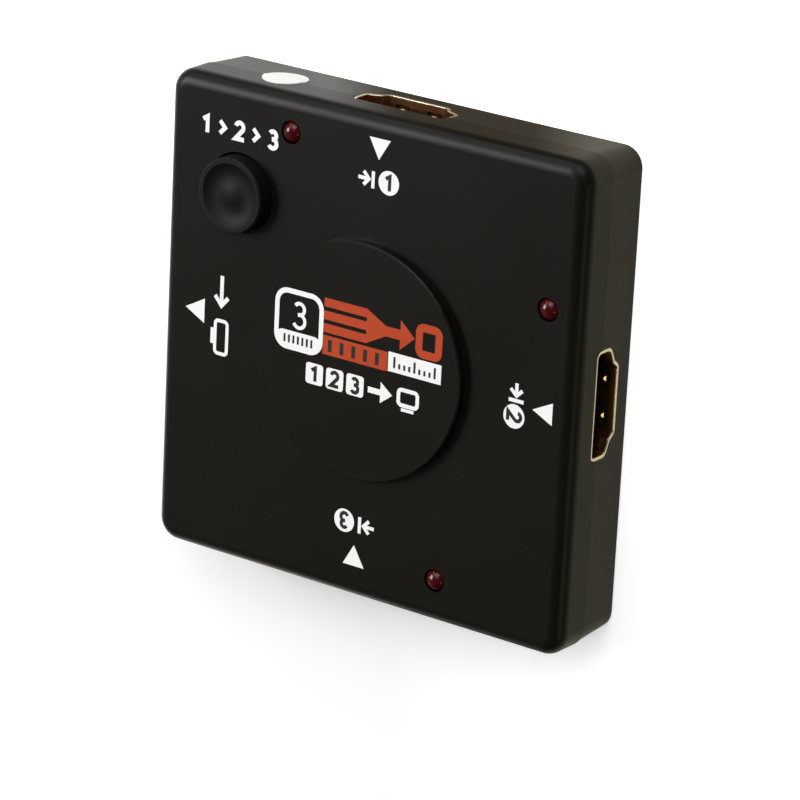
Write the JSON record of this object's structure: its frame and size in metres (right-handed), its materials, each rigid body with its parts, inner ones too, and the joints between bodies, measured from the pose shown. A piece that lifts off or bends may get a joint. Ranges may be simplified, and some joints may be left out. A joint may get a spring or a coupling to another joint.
{
  "type": "video switch box",
  "caption": "Square black video switch box with a socket on each side, a round boss, a select button and red lamps beside its inputs.",
  "frame": {"origin": "middle of the outer face of the back cover, on which the box lies", "axes": "+Z out of the lettered face, +Y towards the socket of input 1, +X towards the socket of input 2"},
  "size_m": [0.0666, 0.0668, 0.0154],
  "materials": {
    "black_case": "satin black moulded plastic, fine grain",
    "black_button": "satin black moulded plastic",
    "gold_plate": "thin gold plating on stamped steel",
    "contact_metal": "gold-plated spring bronze",
    "black_insulator": "black glass-filled insulator",
    "screw_steel": "dark zinc-plated steel",
    "red_lens": "deep red tinted epoxy, polished dome",
    "tinned_metal": "bright tinned copper",
    "green_board": "green solder mask over glass fibre",
    "chip_black": "black moulded epoxy",
    "sheet_steel": "stamped stainless sheet",
    "capacitor_ceramic": "tan fired ceramic",
    "white_paper": "matt white paper",
    "white_print": "white screen-printed ink",
    "orange_print": "orange screen-printed ink"
  },
  "bodies": {
    "housing": {"back_cover": "black_case", "capacitor_bodies": "capacitor_ceramic", "capacitor_ends": "tinned_metal", "case_screw_1": "screw_steel", "case_screw_2": "screw_steel", "case_screw_3": "screw_steel", "case_screw_4": "screw_steel", "chip_leads": "tinned_metal", "circuit_board": "green_board", "clock_crystal": "sheet_steel", "front_cover": "black_case", "in1_contacts": "contact_metal", "in1_shell": "gold_plate", "in1_tongue": "black_insulator", "in2_contacts": "contact_metal", "in2_shell": "gold_plate", "in2_tongue": "black_insulator", "in3_contacts": "contact_metal", "in3_shell": "gold_plate", "in3_tongue": "black_insulator", "lamp_1_leads": "tinned_metal", "lamp_1_lens": "red_lens", "lamp_2_leads": "tinned_metal", "lamp_2_lens": "red_lens", "lamp_3_leads": "tinned_metal", "lamp_3_lens": "red_lens", "out_contacts": "contact_metal", "out_shell": "gold_plate", "out_tongue": "black_insulator", "regulator": "chip_black", "regulator_leads": "tinned_metal", "round_seal": "white_paper", "snap_dome": "sheet_steel", "switch_base": "chip_black", "switch_chip": "chip_black", "switch_plate": "sheet_steel", "switch_terminals": "tinned_metal"},
    "button": {"select_button": "black_button"},
    "plunger": {"switch_plunger": "chip_black"}
  },
  "joints": [
    {"name": "button_press", "type": "slide", "parent": "housing", "child": "button", "axis": [0, 0, -1], "range_m": [0, 0.00025], "stiffness_N_per_m": 1000, "springref_m": -0.0015},
    {"name": "plunger_press", "type": "slide", "parent": "housing", "child": "plunger", "axis": [0, 0, -1], "range_m": [0, 0.00025], "stiffness_N_per_m": 400, "springref_m": -0.0015}
  ],
  "couplings": [
    {"joint": "plunger_press", "follows": "button_press", "ratio": 1}
  ]
}
